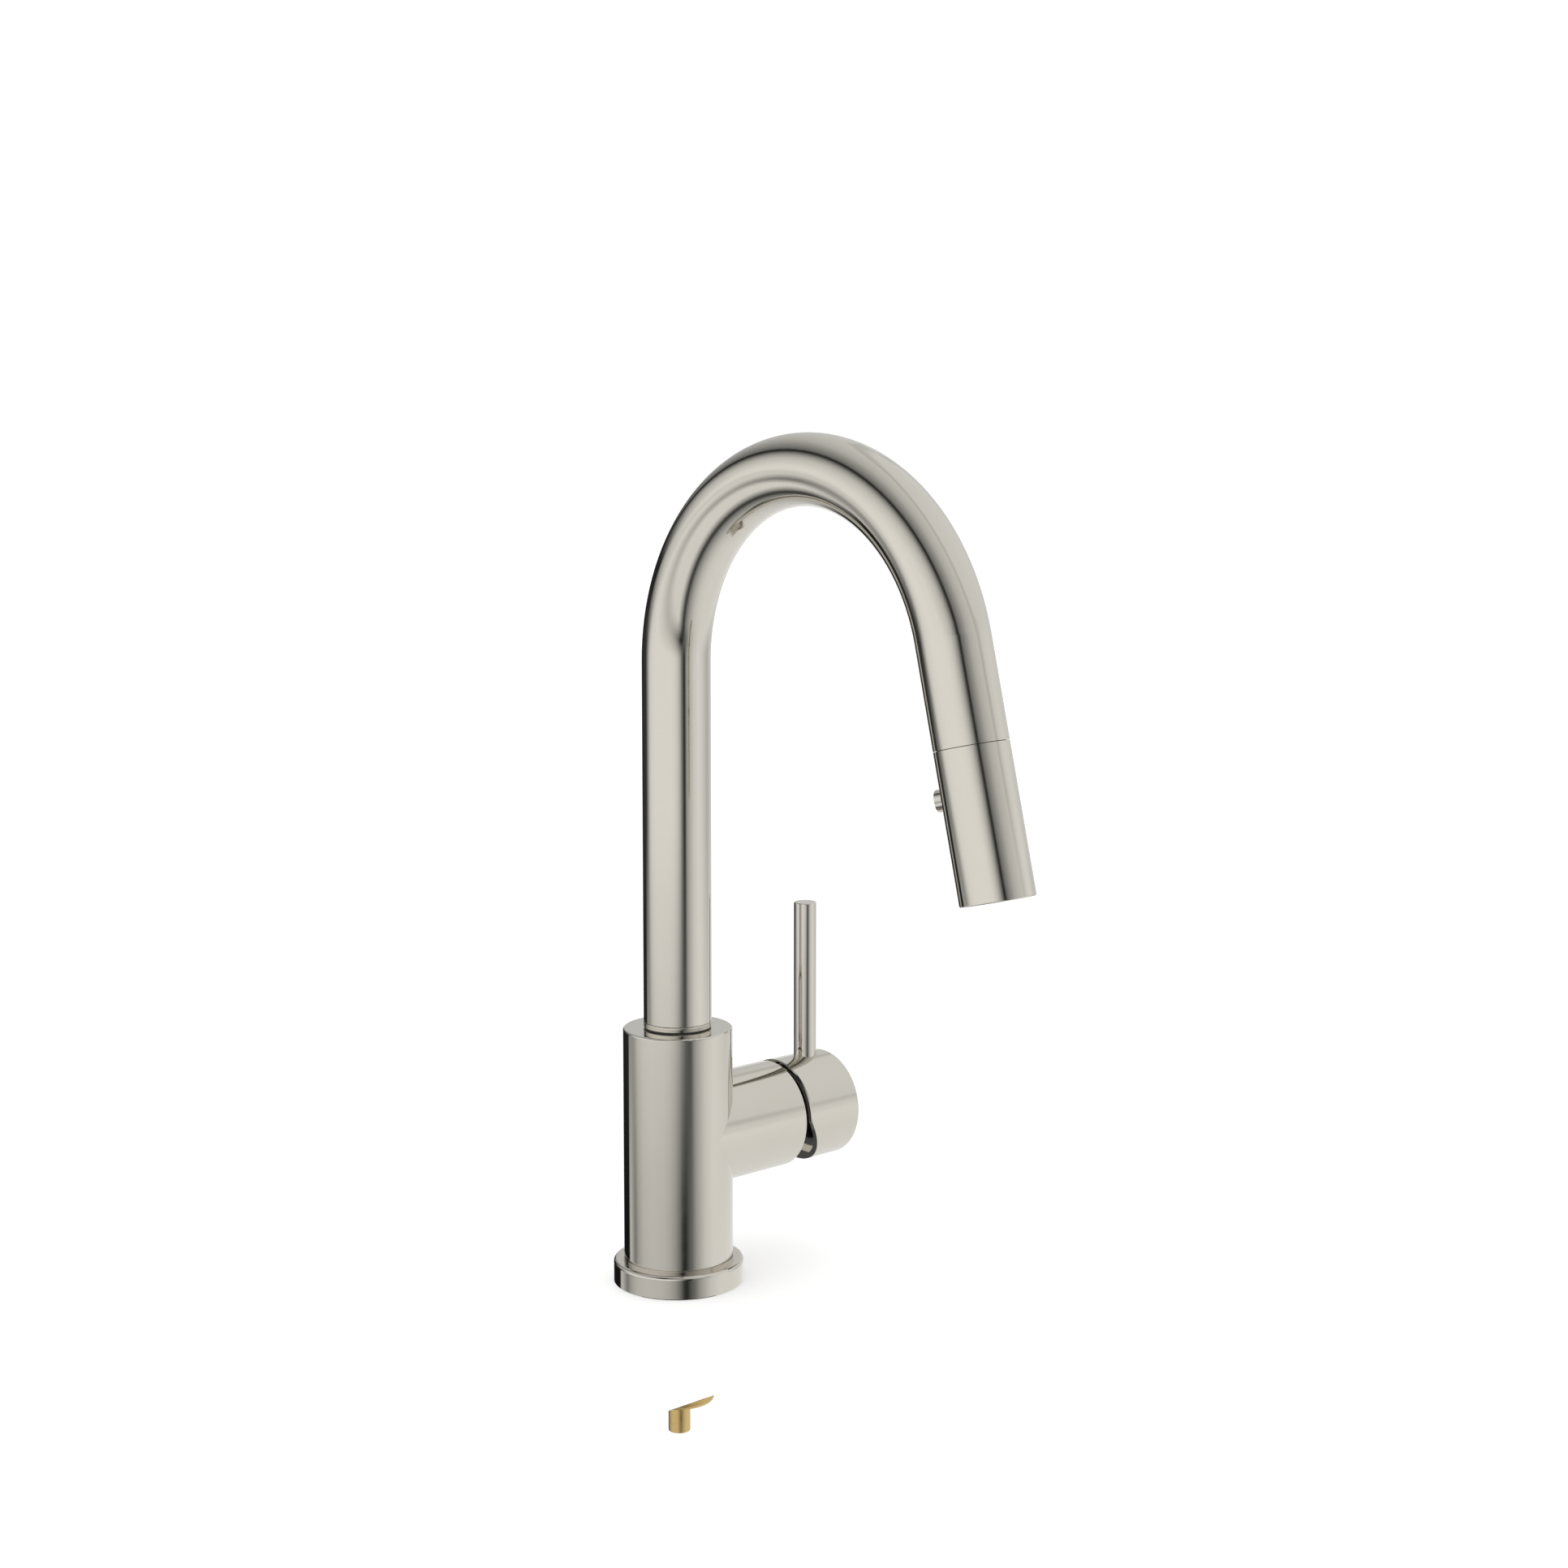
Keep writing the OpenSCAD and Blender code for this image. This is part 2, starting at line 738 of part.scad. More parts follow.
module diverter_spool() {
    color(grey_plastic) along_wand() translate([0, 0, button_s]) rotate([90, 0, 0]) difference() {
        bar(spool_r, -spool_len / 2 + 2.5, -button_skirt_y + 3);
        tube(spool_r + cut, spool_r - 0.8, -1.5, 1.5);
    }
}

module button_spring() {
    start = -pocket_y;
    end = -button_skirt_y + 3;
    color(steel) along_wand() translate([0, 0, button_s]) rotate([90, 0, 0])
        translate([0, 0, start + spring_wire_r])
            coil_spring(spring_r - spring_wire_r, spring_wire_r, end - start - 2 * spring_wire_r, 4);
}

module flow_plate() {
    holes = 8;
    color(grey_plastic) along_wand() difference() {
        bar(core_r, plate_s, plate_s + plate_t);
        for (i = [0 : holes - 1]) rotate([0, 0, i * 360 / holes])
            translate([core_r * 0.6, 0, 0]) bar(1.5, plate_s - cut, plate_s + plate_t + cut);
    }
}

// Places its children at each nozzle of the wand's face
module at_nozzles() {
    for (i = [0 : nozzle_count - 1]) rotate([0, 0, i * 360 / nozzle_count])
        translate([nozzle_circle_r, 0, 0]) children();
}

module spray_face() {
    color(grey_plastic) along_wand() difference() {
        bar(core_r, face_s, face_end);
        bar(aerator_r + slip_gap, face_s - cut, face_end + cut);
        // The web of the nozzles lies behind the face
        tube(nozzle_circle_r + 2, nozzle_circle_r - 2, face_s - cut, face_s + nozzle_web_t);
        at_nozzles() bar(nozzle_r + slip_gap, face_s, face_end + cut);
    }
}

module rubber_nozzles() {
    color(black_rubber) along_wand() union() {
        tube(nozzle_circle_r + 1.9, nozzle_circle_r - 1.9, face_s, face_s + nozzle_web_t);
        at_nozzles() bar(nozzle_r, face_s + nozzle_web_t - 0.2, wand_end - 0.1);
    }
}

module aerator_housing() {
    wall = 1.2;
    color(grey_plastic) along_wand() difference() {
        bar(aerator_r, plate_s + plate_t, wand_end - 0.3);
        bar(aerator_r - wall, plate_s + plate_t + 1, wand_end + cut);
        bar(water_r, plate_s, plate_s + plate_t + 2);
    }
}

module aerator_mesh() {
    color(steel) along_wand() bar(aerator_r - 1.2 - slip_gap, wand_end - 2.6, wand_end - 2.6 + mesh_t);
}

base_flange();
deck_gasket();
body_casting();
inlet_block();
shank();
rubber_washer();
clamp_washer();
mounting_nut();
clamp_screws();
swivel_bushes();
slip_washer();
cartridge_seals();
cartridge_base();
fixed_disc();
cartridge_housing();
cartridge_nut();
trim_ring();
stem_carrier();
pivot_pin();
moving_disc();
disc_driver();
stem();
handle_hub();
lever_rod();
hub_set_screw();
screw_plug();
spout_tube();
spout_end();
foot_ring();
swivel_insert();
swivel_oring();
snap_ring();
dock_collar();
hose();
hose_connector();
wand_shell();
wand_core();
neck_oring();
hose_ferrule();
hose_gasket();
check_valve();
hose_tail();
spray_button();
diverter_spool();
button_spring();
flow_plate();
spray_face();
rubber_nozzles();
aerator_housing();
aerator_mesh();
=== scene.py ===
"""Pull-down kitchen faucet: materials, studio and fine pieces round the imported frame.

Metres, +Z up, origin on the deck under the base flange. The spout reaches to -Y and the
lever stands at +X.
"""
import json
import math

import bpy
from mathutils import Matrix, Vector


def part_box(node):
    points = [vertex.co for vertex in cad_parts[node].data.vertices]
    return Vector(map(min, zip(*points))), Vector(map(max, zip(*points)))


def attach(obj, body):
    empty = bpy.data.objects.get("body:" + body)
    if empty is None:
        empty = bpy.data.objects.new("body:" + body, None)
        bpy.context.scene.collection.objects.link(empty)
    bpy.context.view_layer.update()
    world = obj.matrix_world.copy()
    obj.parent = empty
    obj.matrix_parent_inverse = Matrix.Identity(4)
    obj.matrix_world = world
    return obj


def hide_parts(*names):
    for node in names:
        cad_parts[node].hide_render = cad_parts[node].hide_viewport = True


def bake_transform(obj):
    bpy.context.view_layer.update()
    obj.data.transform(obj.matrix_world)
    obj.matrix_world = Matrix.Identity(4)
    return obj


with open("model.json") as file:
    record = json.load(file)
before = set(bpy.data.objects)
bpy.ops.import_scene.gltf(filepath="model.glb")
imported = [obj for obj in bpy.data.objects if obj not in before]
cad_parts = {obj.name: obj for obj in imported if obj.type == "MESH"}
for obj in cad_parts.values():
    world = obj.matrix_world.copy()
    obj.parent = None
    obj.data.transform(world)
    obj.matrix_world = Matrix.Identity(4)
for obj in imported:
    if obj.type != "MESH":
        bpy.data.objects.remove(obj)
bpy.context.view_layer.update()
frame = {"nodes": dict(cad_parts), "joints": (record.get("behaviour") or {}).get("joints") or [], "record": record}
NODES = frame["nodes"]
MM = 0.001
# Points closer than this are one point.
SEAM = 0.002 * MM

# ---------------------------------------------------------------- facts from the frame
BODY_OF = {n: b for b, names in frame["record"]["behaviour"]["bodies"].items() for n in names}
SLOT_OF = {s["node"]: s["material_slot"] for s in frame["record"]["subparts"]}
JOINTS = {j["name"]: j for j in frame["joints"]}
WAND_AXIS = Vector(JOINTS["wand_pull"]["axis"]).normalized()
PULL = JOINTS["wand_pull"]["range_m"][1]


# ---------------------------------------------------------------- node helpers
def shader(name):
    """A new material with a bare Principled shader: (material, tree, principled node)."""
    material = bpy.data.materials.new(name)
    material.use_nodes = True
    tree = material.node_tree
    return material, tree, tree.nodes["Principled BSDF"]


def add(tree, kind, inputs=(), **settings):
    """Adds a node, sets its properties, then fills sockets from values or other sockets."""
    node = tree.nodes.new(kind)
    for key, value in settings.items():
        setattr(node, key, value)
    for key, value in dict(inputs).items():
        if isinstance(value, bpy.types.NodeSocket):
            tree.links.new(value, node.inputs[key])
        else:
            node.inputs[key].default_value = value
    return node


def ramp(tree, source, stops):
    """A ramp of greys from (place, value) pairs; returns its colour socket."""
    node = add(tree, "ShaderNodeValToRGB", {"Fac": source})
    elements = node.color_ramp.elements
    elements.remove(elements[1])
    elements[0].position = 0.0
    elements[0].color = (stops[0][1], stops[0][1], stops[0][1], 1)
    for place, value in stops:
        elements.new(place).color = (value, value, value, 1)
    return node.outputs["Color"]


def noise(tree, where, scale, detail=2.0, rough=0.5):
    """A cloud of values from 0 to 1, at a scale in features per metre."""
    return add(tree, "ShaderNodeTexNoise",
               {"Vector": where, "Scale": scale, "Detail": detail, "Roughness": rough}).outputs["Fac"]


def spread(tree, source, low, high, to_low, to_high):
    """Maps a value from one range to another, clamped."""
    return add(tree, "ShaderNodeMapRange",
               {"Value": source, "From Min": low, "From Max": high,
                "To Min": to_low, "To Max": to_high}).outputs["Result"]


def bump(tree, height, depth, strength=1.0, under=None):
    """A bump of a real depth in metres; returns its normal socket."""
    inputs = {"Height": height, "Distance": depth, "Strength": strength}
    if under is not None:
        inputs["Normal"] = under
    return add(tree, "ShaderNodeBump", inputs).outputs["Normal"]


def object_space(tree, stretch=(1, 1, 1)):
    """The piece's own coordinates, stretched where a grain needs it."""
    place = add(tree, "ShaderNodeTexCoord").outputs["Object"]
    if stretch == (1, 1, 1):
        return place
    return add(tree, "ShaderNodeMapping", {"Vector": place, "Scale": stretch}).outputs["Vector"]


def tint(tree, factor, dark, light):
    """A colour between two, by a factor."""
    node = add(tree, "ShaderNodeMix", {"Factor": factor}, data_type="RGBA")
    node.inputs[6].default_value = (*dark, 1)
    node.inputs[7].default_value = (*light, 1)
    return node.outputs[2]


def link(tree, source, node, socket):
    """Feeds a named socket of a node."""
    tree.links.new(source, node.inputs[socket])


# ---------------------------------------------------------------- geometry trees
class Field:
    """A value flowing through a node tree. Arithmetic on fields adds Math nodes."""

    def __init__(self, tree, socket):
        self.tree = tree
        self.socket = socket

    def math(self, operation, *others):
        node = self.tree.nodes.new("ShaderNodeMath")
        node.operation = operation
        for place, value in enumerate((self, *others)):
            if isinstance(value, Field):
                self.tree.links.new(value.socket, node.inputs[place])
            else:
                node.inputs[place].default_value = value
        return Field(self.tree, node.outputs[0])

    def __add__(self, other):
        return self.math("ADD", other)

    def __sub__(self, other):
        return self.math("SUBTRACT", other)

    def __mul__(self, other):
        return self.math("MULTIPLY", other)

    def __truediv__(self, other):
        return self.math("DIVIDE", other)

    def __neg__(self):
        return self.math("MULTIPLY", -1.0)

    def sin(self):
        return self.math("SINE")

    def cos(self):
        return self.math("COSINE")

    def least(self, other):
        return self.math("MINIMUM", other)

    def most(self, other):
        return self.math("MAXIMUM", other)

    def under(self, limit):
        """1 where the value is less than the limit, else 0."""
        return self.math("LESS_THAN", limit)

    def choose(self, low, high):
        """low where this is 0 and high where it is 1."""
        return (high - low) * self + low


def new_tree(name, sizes, counts=()):
    """A geometry tree with named size and count inputs: (tree, fields by name, material socket)."""
    tree = bpy.data.node_groups.new(name, "GeometryNodeTree")
    tree.interface.new_socket("Geometry", in_out="OUTPUT", socket_type="NodeSocketGeometry")
    tree.interface.new_socket("Geometry", in_out="INPUT", socket_type="NodeSocketGeometry")
    for size in sizes:
        tree.interface.new_socket(size, in_out="INPUT", socket_type="NodeSocketFloat")
    for count in counts:
        tree.interface.new_socket(count, in_out="INPUT", socket_type="NodeSocketInt")
    tree.interface.new_socket("Material", in_out="INPUT", socket_type="NodeSocketMaterial")
    source = tree.nodes.new("NodeGroupInput")
    fields = {word: Field(tree, source.outputs[word]) for word in (*sizes, *counts)}
    return tree, fields, source.outputs["Material"]


def end_tree(tree, geometry, material):
    """Makes instances real, merges seams and sets the material."""
    real = add(tree, "GeometryNodeRealizeInstances", {"Geometry": geometry}).outputs["Geometry"]
    whole = add(tree, "GeometryNodeMergeByDistance",
                {"Geometry": real, "Distance": SEAM}).outputs["Geometry"]
    done = add(tree, "GeometryNodeSetMaterial", {"Geometry": whole, "Material": material})
    out = tree.nodes.new("NodeGroupOutput")
    tree.links.new(done.outputs["Geometry"], out.inputs["Geometry"])
    return tree


def grow(name, tree, sizes, material, crease=35.0):
    """Runs a geometry tree at the given sizes and keeps the result as a plain mesh object."""
    seed = bpy.data.objects.new(name + "_seed", bpy.data.meshes.new(name + "_seed"))
    bpy.context.scene.collection.objects.link(seed)
    modifier = seed.modifiers.new("grow", "NODES")
    modifier.node_group = tree
    values = {**sizes, "Material": material}
    for item in tree.interface.items_tree:
        if item.in_out == "INPUT" and item.name in values:
            modifier[item.identifier] = values[item.name]
    bpy.context.view_layer.update()
    ready = seed.evaluated_get(bpy.context.evaluated_depsgraph_get())
    mesh = bpy.data.meshes.new_from_object(ready)
    bpy.data.objects.remove(seed)
    return finished(name, mesh, crease)


def finished(name, mesh, crease=35.0):
    """Links a final mesh as an object, with smooth faces and sharp edges past the crease angle."""
    mesh.name = name
    mesh.shade_smooth()
    mesh.set_sharp_from_angle(angle=math.radians(crease))
    piece = bpy.data.objects.new(name, mesh)
    bpy.context.scene.collection.objects.link(piece)
    return piece


def stand_in(piece, node):
    """The piece takes the place of a CAD node: its body and its role."""
    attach(piece, BODY_OF[node])
    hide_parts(node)


def wall_grid(tree, rings, sides):
    """A sheet that runs up the outside of a tube wall and down its inside, closed both ways.

    Returns the mesh with 'outer' (1 outside, 0 inside), 'along' (0 to 1) and 'turn' (radians).
    """
    sheet = add(tree, "GeometryNodeMeshGrid", {"Size X": 1.0, "Size Y": 1.0,
                                               "Vertices X": (rings * 2.0 + 1.0).socket,
                                               "Vertices Y": (sides + 1.0).socket})
    place = add(tree, "GeometryNodeInputPosition").outputs["Position"]
    axes = add(tree, "ShaderNodeSeparateXYZ", {"Vector": place})
    column = ((Field(tree, axes.outputs["X"]) + 0.5) * rings * 2.0).math("ROUND")
    turn = (Field(tree, axes.outputs["Y"]) + 0.5) * math.tau
    last = (-(column.under(rings * 2.0 - 0.5))) + 1.0
    outer = (column.under(rings - 0.5) + last).least(1.0)
    outside = column.math("MODULO", rings * 2.0)
    inside = -column + rings * 2.0 - 1.0
    along = outer.choose(inside, outside) / (rings - 1.0)
    return sheet.outputs["Mesh"], outer, along, turn


def placed(tree, mesh, x, y, z):
    """Moves the mesh's points to computed places."""
    place = add(tree, "ShaderNodeCombineXYZ", {"X": x.socket, "Y": y.socket, "Z": z.socket})
    return add(tree, "GeometryNodeSetPosition",
               {"Geometry": mesh, "Position": place.outputs["Vector"]}).outputs["Geometry"]


def with_uv(tree, mesh, u, v):
    """Stores a UV map: u is the share of a turn, v the distance along in metres."""
    pair = add(tree, "ShaderNodeCombineXYZ", {"X": u.socket, "Y": v.socket}).outputs["Vector"]
    node = tree.nodes.new("GeometryNodeStoreNamedAttribute")
    node.data_type = "FLOAT2"
    node.domain = "CORNER"
    node.inputs["Name"].default_value = "UVMap"
    tree.links.new(mesh, node.inputs["Geometry"])
    tree.links.new(pair, next(i for i in node.inputs if i.name == "Value" and i.enabled))
    return node.outputs["Geometry"]


def bent_hose_tree():
    """A tube that stands straight up, then bends over towards -Y."""
    tree, size, material = new_tree(
        "bent_hose", ("Radius", "Bore", "Start height", "Bend height", "Bend radius", "Bend angle"),
        ("Rings", "Sides"))
    mesh, outer, along, turn = wall_grid(tree, size["Rings"], size["Sides"])
    straight = size["Bend height"] - size["Start height"]
    distance = along * (straight + size["Bend radius"] * size["Bend angle"])
    radius = outer.choose(size["Bore"], size["Radius"])
    mesh = with_uv(tree, mesh, turn / math.tau, distance)
    angle = ((distance - straight) / size["Bend radius"]).most(0.0)
    fall = (distance - straight).least(0.0)
    reach = radius * turn.cos() + size["Bend radius"]
    mesh = placed(tree, mesh, radius * turn.sin(), reach * angle.cos() - size["Bend radius"],
                  reach * angle.sin() + size["Bend height"] + fall)
    return end_tree(tree, mesh, material)


def threaded_tube_tree():
    """A tube along Z with a rounded thread outside that fades out at both ends."""
    tree, size, material = new_tree(
        "threaded_tube", ("Crest radius", "Bore", "Start", "Length", "Thread end", "Pitch", "Depth"),
        ("Rings", "Sides"))
    mesh, outer, along, turn = wall_grid(tree, size["Rings"], size["Sides"])
    distance = along * size["Length"]
    phase = distance / size["Pitch"] * math.tau + turn
    wave = (phase.cos() + 0.25).math("MULTIPLY", 0.7).most(-0.5).least(0.5) + 0.5
    to_end = (size["Thread end"] - distance) / size["Pitch"]
    fade = (distance / size["Pitch"]).least(to_end).most(0.0).least(1.0)
    crest = size["Crest radius"] - size["Depth"] * (-(wave * fade) + 1.0)
    plain = distance.under(size["Thread end"]).choose(size["Crest radius"], crest)
    radius = outer.choose(size["Bore"], plain)
    mesh = placed(tree, mesh, radius * turn.sin(), radius * turn.cos(), distance + size["Start"])
    return end_tree(tree, mesh, material)


def joined(tree, *meshes):
    """One geometry from several."""
    node = tree.nodes.new("GeometryNodeJoinGeometry")
    for mesh in meshes:
        tree.links.new(mesh, node.inputs["Geometry"])
    return node.outputs["Geometry"]


def lathe(tree, rings, sides, outer_radius, bore, start, length):
    """A tube wall along Z whose outside radius is a field of how far along it is."""
    mesh, outer, along, turn = wall_grid(tree, rings, sides)
    radius = outer.choose(bore, outer_radius(along))
    return placed(tree, mesh, radius * turn.sin(), radius * turn.cos(), along * length + start)


def two_rings(any_field):
    """The least rings that a plain wall needs, as a field."""
    return any_field * 0.0 + 2.0


def nozzle_ring_tree():
    """A ring of tapered rubber nipples standing on a thin web, along +Z."""
    tree, size, material = new_tree(
        "nozzle_ring", ("Circle radius", "Nozzle radius", "Bore", "Web start", "Web thickness", "Web width",
                        "Tip"), ("Count", "Rings", "Sides"))
    web_half = size["Web width"] / 2.0
    web = lathe(tree, two_rings(size["Rings"]), size["Sides"] * 6.0,
                lambda along: size["Circle radius"] + web_half + along * 0.0,
                size["Circle radius"] - web_half, size["Web start"], size["Web thickness"])
    root = size["Web start"] + size["Web thickness"]
    nipple = lathe(tree, size["Rings"], size["Sides"],
                   lambda along: size["Nozzle radius"] * (-(along * along * along) * 0.3 + 1.0),
                   size["Bore"], root, size["Tip"] - root)
    ring = add(tree, "GeometryNodeMeshCircle", {"Vertices": size["Count"].socket,
                                                "Radius": size["Circle radius"].socket})
    nipples = add(tree, "GeometryNodeInstanceOnPoints", {"Points": ring.outputs["Mesh"],
                                                         "Instance": nipple})
    return end_tree(tree, joined(tree, web, nipples.outputs["Instances"]), material)


def wire_screen_tree():
    """A round screen of crossing wires, cut to the chord of its rim, with a rim ring."""
    tree, size, material = new_tree(
        "wire_screen", ("Radius", "Rim width", "Pitch", "Wire radius", "Height", "Rim thickness"),
        ("Wires", "Sides"))
    reach = size["Radius"] - size["Rim width"] * 0.5
    span = size["Pitch"] * (size["Wires"] - 1.0)
    start = add(tree, "ShaderNodeCombineXYZ", {"X": (-(span / 2.0)).socket})
    step = add(tree, "ShaderNodeCombineXYZ", {"X": size["Pitch"].socket})
    row = add(tree, "GeometryNodeMeshLine", {"Count": size["Wires"].socket,
                                             "Start Location": start.outputs["Vector"],
                                             "Offset": step.outputs["Vector"]})
    wire = add(tree, "GeometryNodeMeshCylinder", {"Vertices": 6, "Radius": size["Wire radius"].socket,
                                                  "Depth": 1.0})
    lying = add(tree, "GeometryNodeTransform", {"Geometry": wire.outputs["Mesh"],
                                                "Rotation": (math.pi / 2, 0.0, 0.0)})
    place = add(tree, "GeometryNodeInputPosition").outputs["Position"]
    across = Field(tree, add(tree, "ShaderNodeSeparateXYZ", {"Vector": place}).outputs["X"])
    chord = (reach * reach - across * across).most(0.0).math("SQRT") * 2.0
    scale = add(tree, "ShaderNodeCombineXYZ", {"X": 1.0, "Y": chord.socket, "Z": 1.0})
    wires = add(tree, "GeometryNodeInstanceOnPoints", {"Points": row.outputs["Mesh"],
                                                       "Instance": lying.outputs["Geometry"],
                                                       "Scale": scale.outputs["Vector"]})
    layers = []
    for side, turned in ((1.0, 0.0), (-1.0, math.pi / 2)):
        height = size["Wire radius"] * side + size["Height"]
        lift = add(tree, "ShaderNodeCombineXYZ", {"Z": height.socket})
        layers.append(add(tree, "GeometryNodeTransform", {
            "Geometry": wires.outputs["Instances"], "Translation": lift.outputs["Vector"],
            "Rotation": (0.0, 0.0, turned)}).outputs["Geometry"])
    rim = lathe(tree, two_rings(size["Sides"]), size["Sides"], lambda along: size["Radius"] + along * 0.0,
                size["Radius"] - size["Rim width"], size["Height"] - size["Rim thickness"] / 2.0,
                size["Rim thickness"])
    return end_tree(tree, joined(tree, rim, *layers), material)


# ---------------------------------------------------------------- materials
def polished_nickel():
    """Warm grey mirror plating: faint buffing waves, fine hairlines and a breath of haze."""
    material, tree, principled = shader("polished_nickel")
    principled.inputs["Metallic"].default_value = 1.0
    place = object_space(tree)
    cloud = noise(tree, place, 38.0, 3.0)
    link(tree, tint(tree, cloud, (0.640, 0.612, 0.548), (0.672, 0.645, 0.583)), principled, "Base Color")
    haze = noise(tree, place, 210.0, 4.0, 0.6)
    link(tree, spread(tree, haze, 0.3, 0.75, 0.055, 0.10), principled, "Roughness")
    waves = bump(tree, noise(tree, place, 45.0, 1.0), 0.03 * MM, 0.25)
    grain = noise(tree, object_space(tree, (2600, 2600, 500)), 1.0, 2.0)
    link(tree, bump(tree, grain, 0.004 * MM, 0.15, waves), principled, "Normal")
    return material


def machined_brass():
    """Turned brass: fine tool rings across the axis and a few dull patches."""
    material, tree, principled = shader("machined_brass")
    principled.inputs["Metallic"].default_value = 1.0
    place = object_space(tree)
    patches = noise(tree, place, 90.0, 4.0)
    link(tree, tint(tree, patches, (0.52, 0.36, 0.13), (0.76, 0.58, 0.27)), principled, "Base Color")
    link(tree, spread(tree, patches, 0.3, 0.7, 0.24, 0.42), principled, "Roughness")
    rings = add(tree, "ShaderNodeTexWave", {"Vector": place, "Scale": 900.0, "Distortion": 0.4},
                bands_direction="Z").outputs["Fac"]
    link(tree, bump(tree, rings, 0.02 * MM, 0.5), principled, "Normal")
    return material


def satin_steel():
    """Stainless steel with a brushed grain."""
    material, tree, principled = shader("satin_steel")
    principled.inputs["Metallic"].default_value = 1.0
    principled.inputs["Anisotropic"].default_value = 0.4
    grain = noise(tree, object_space(tree, (300, 300, 4200)), 1.0, 4.0)
    link(tree, tint(tree, grain, (0.48, 0.49, 0.50), (0.64, 0.645, 0.65)), principled, "Base Color")
    link(tree, spread(tree, grain, 0.3, 0.7, 0.24, 0.38), principled, "Roughness")
    link(tree, bump(tree, grain, 0.01 * MM, 0.4), principled, "Normal")
    return material


def black_rubber():
    """Matt rubber with a little dust in its texture."""
    material, tree, principled = shader("black_rubber")
    place = object_space(tree)
    dust = noise(tree, place, 160.0, 5.0, 0.7)
    link(tree, tint(tree, dust, (0.014, 0.014, 0.015), (0.045, 0.045, 0.047)), principled, "Base Color")
    link(tree, spread(tree, dust, 0.3, 0.8, 0.52, 0.75), principled, "Roughness")
    link(tree, bump(tree, noise(tree, place, 2400.0), 0.03 * MM, 0.5), principled, "Normal")
    return material


def moulded_plastic(name, dark, light):
    """Injection-moulded plastic with a fine spark-eroded texture."""
    material, tree, principled = shader(name)
    place = object_space(tree)
    flow = noise(tree, place, 60.0, 3.0)
    link(tree, tint(tree, flow, dark, light), principled, "Base Color")
    link(tree, spread(tree, flow, 0.3, 0.7, 0.36, 0.5), principled, "Roughness")
    link(tree, bump(tree, noise(tree, place, 3200.0), 0.012 * MM, 0.6), principled, "Normal")
    return material


def lapped_ceramic():
    """Off-white ceramic, lapped almost to a gloss."""
    material, tree, principled = shader("lapped_ceramic")
    principled.inputs["Coat Weight"].default_value = 0.3
    speckle = noise(tree, object_space(tree), 1800.0, 2.0)
    link(tree, tint(tree, speckle, (0.80, 0.79, 0.74), (0.90, 0.89, 0.85)), principled, "Base Color")
    link(tree, spread(tree, speckle, 0.3, 0.7, 0.14, 0.22), principled, "Roughness")
    return material


def woven_braid():
    """Nylon braid over a hose: two crossing sets of flat strands, each of a few filaments. Its colour carries a
    painted shade in the gaps between strands and filaments and a painted highlight on their crowns, with a little
    random mottle.
    """
    material, tree, principled = shader("woven_braid")
    strands = 12.0
    strand_pitch = 3.1 * MM
    filaments = 4.0
    uv = add(tree, "ShaderNodeUVMap", uv_map="UVMap").outputs["UV"]
    axes = add(tree, "ShaderNodeSeparateXYZ", {"Vector": uv})
    around = Field(tree, axes.outputs["X"]) * strands
    along = Field(tree, axes.outputs["Y"]) / strand_pitch
    left = around + along
    right = around - along
    over = (left.math("FLOOR") + right.math("FLOOR")).math("PINGPONG", 1.0)
    crown = over.choose((left * math.pi).sin().math("ABSOLUTE"), (right * math.pi).sin().math("ABSOLUTE"))
    thread = over.choose((left * filaments * math.pi).sin().math("ABSOLUTE"),
                         (right * filaments * math.pi).sin().math("ABSOLUTE"))
    height = crown * 0.75 + thread * 0.25
    shade = noise(tree, object_space(tree), 300.0, 3.0)
    # Painted shade and highlight: the weave's height darkens the colour in the gaps and lightens it on the crowns;
    # a fifth is random mottle.
    painted_weave_shade_and_mottle = (height * 0.8 + Field(tree, shade) * 0.2).socket
    link(tree, tint(tree, painted_weave_shade_and_mottle, (0.012, 0.013, 0.014), (0.155, 0.158, 0.165)), principled, "Base Color")
    link(tree, spread(tree, thread.socket, 0.0, 1.0, 0.62, 0.42), principled, "Roughness")
    principled.inputs["Sheen Weight"].default_value = 0.25
    link(tree, bump(tree, height.socket, 0.4 * MM), principled, "Normal")
    return material


MATERIALS = {
    "polished_nickel": polished_nickel(),
    "brass": machined_brass(),
    "stainless_steel": satin_steel(),
    "black_rubber": black_rubber(),
    # The grey plastic is kept dark: on the glide ring inside the hub's gap it is partly its own colour and partly
    # a painted shade for the shadow in that gap.
    "grey_plastic": moulded_plastic("grey_plastic", (0.10, 0.105, 0.11), (0.14, 0.145, 0.15)),
    "white_plastic": moulded_plastic("white_plastic", (0.62, 0.62, 0.59), (0.72, 0.72, 0.69)),
    "ceramic": lapped_ceramic(),
    "braided_nylon": woven_braid(),
}


def dress_frame():
    """Gives every CAD node the material of its slot."""
    for name, node in NODES.items():
        material = MATERIALS[SLOT_OF[name]]
        if not node.material_slots:
            node.data.materials.append(material)
        for slot in node.material_slots:
            slot.material = material


# ---------------------------------------------------------------- fine pieces
def bend_facts():
    """The gooseneck's bend, read from its box: (bend radius, bend angle, height where it starts)."""
    low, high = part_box("spout_tube")
    angle = math.acos(WAND_AXIS.z)
    radius = (-low[1] + high[0] * math.cos(angle)) / (1 - math.cos(angle))
    return radius, angle, high[2] - radius - high[0]


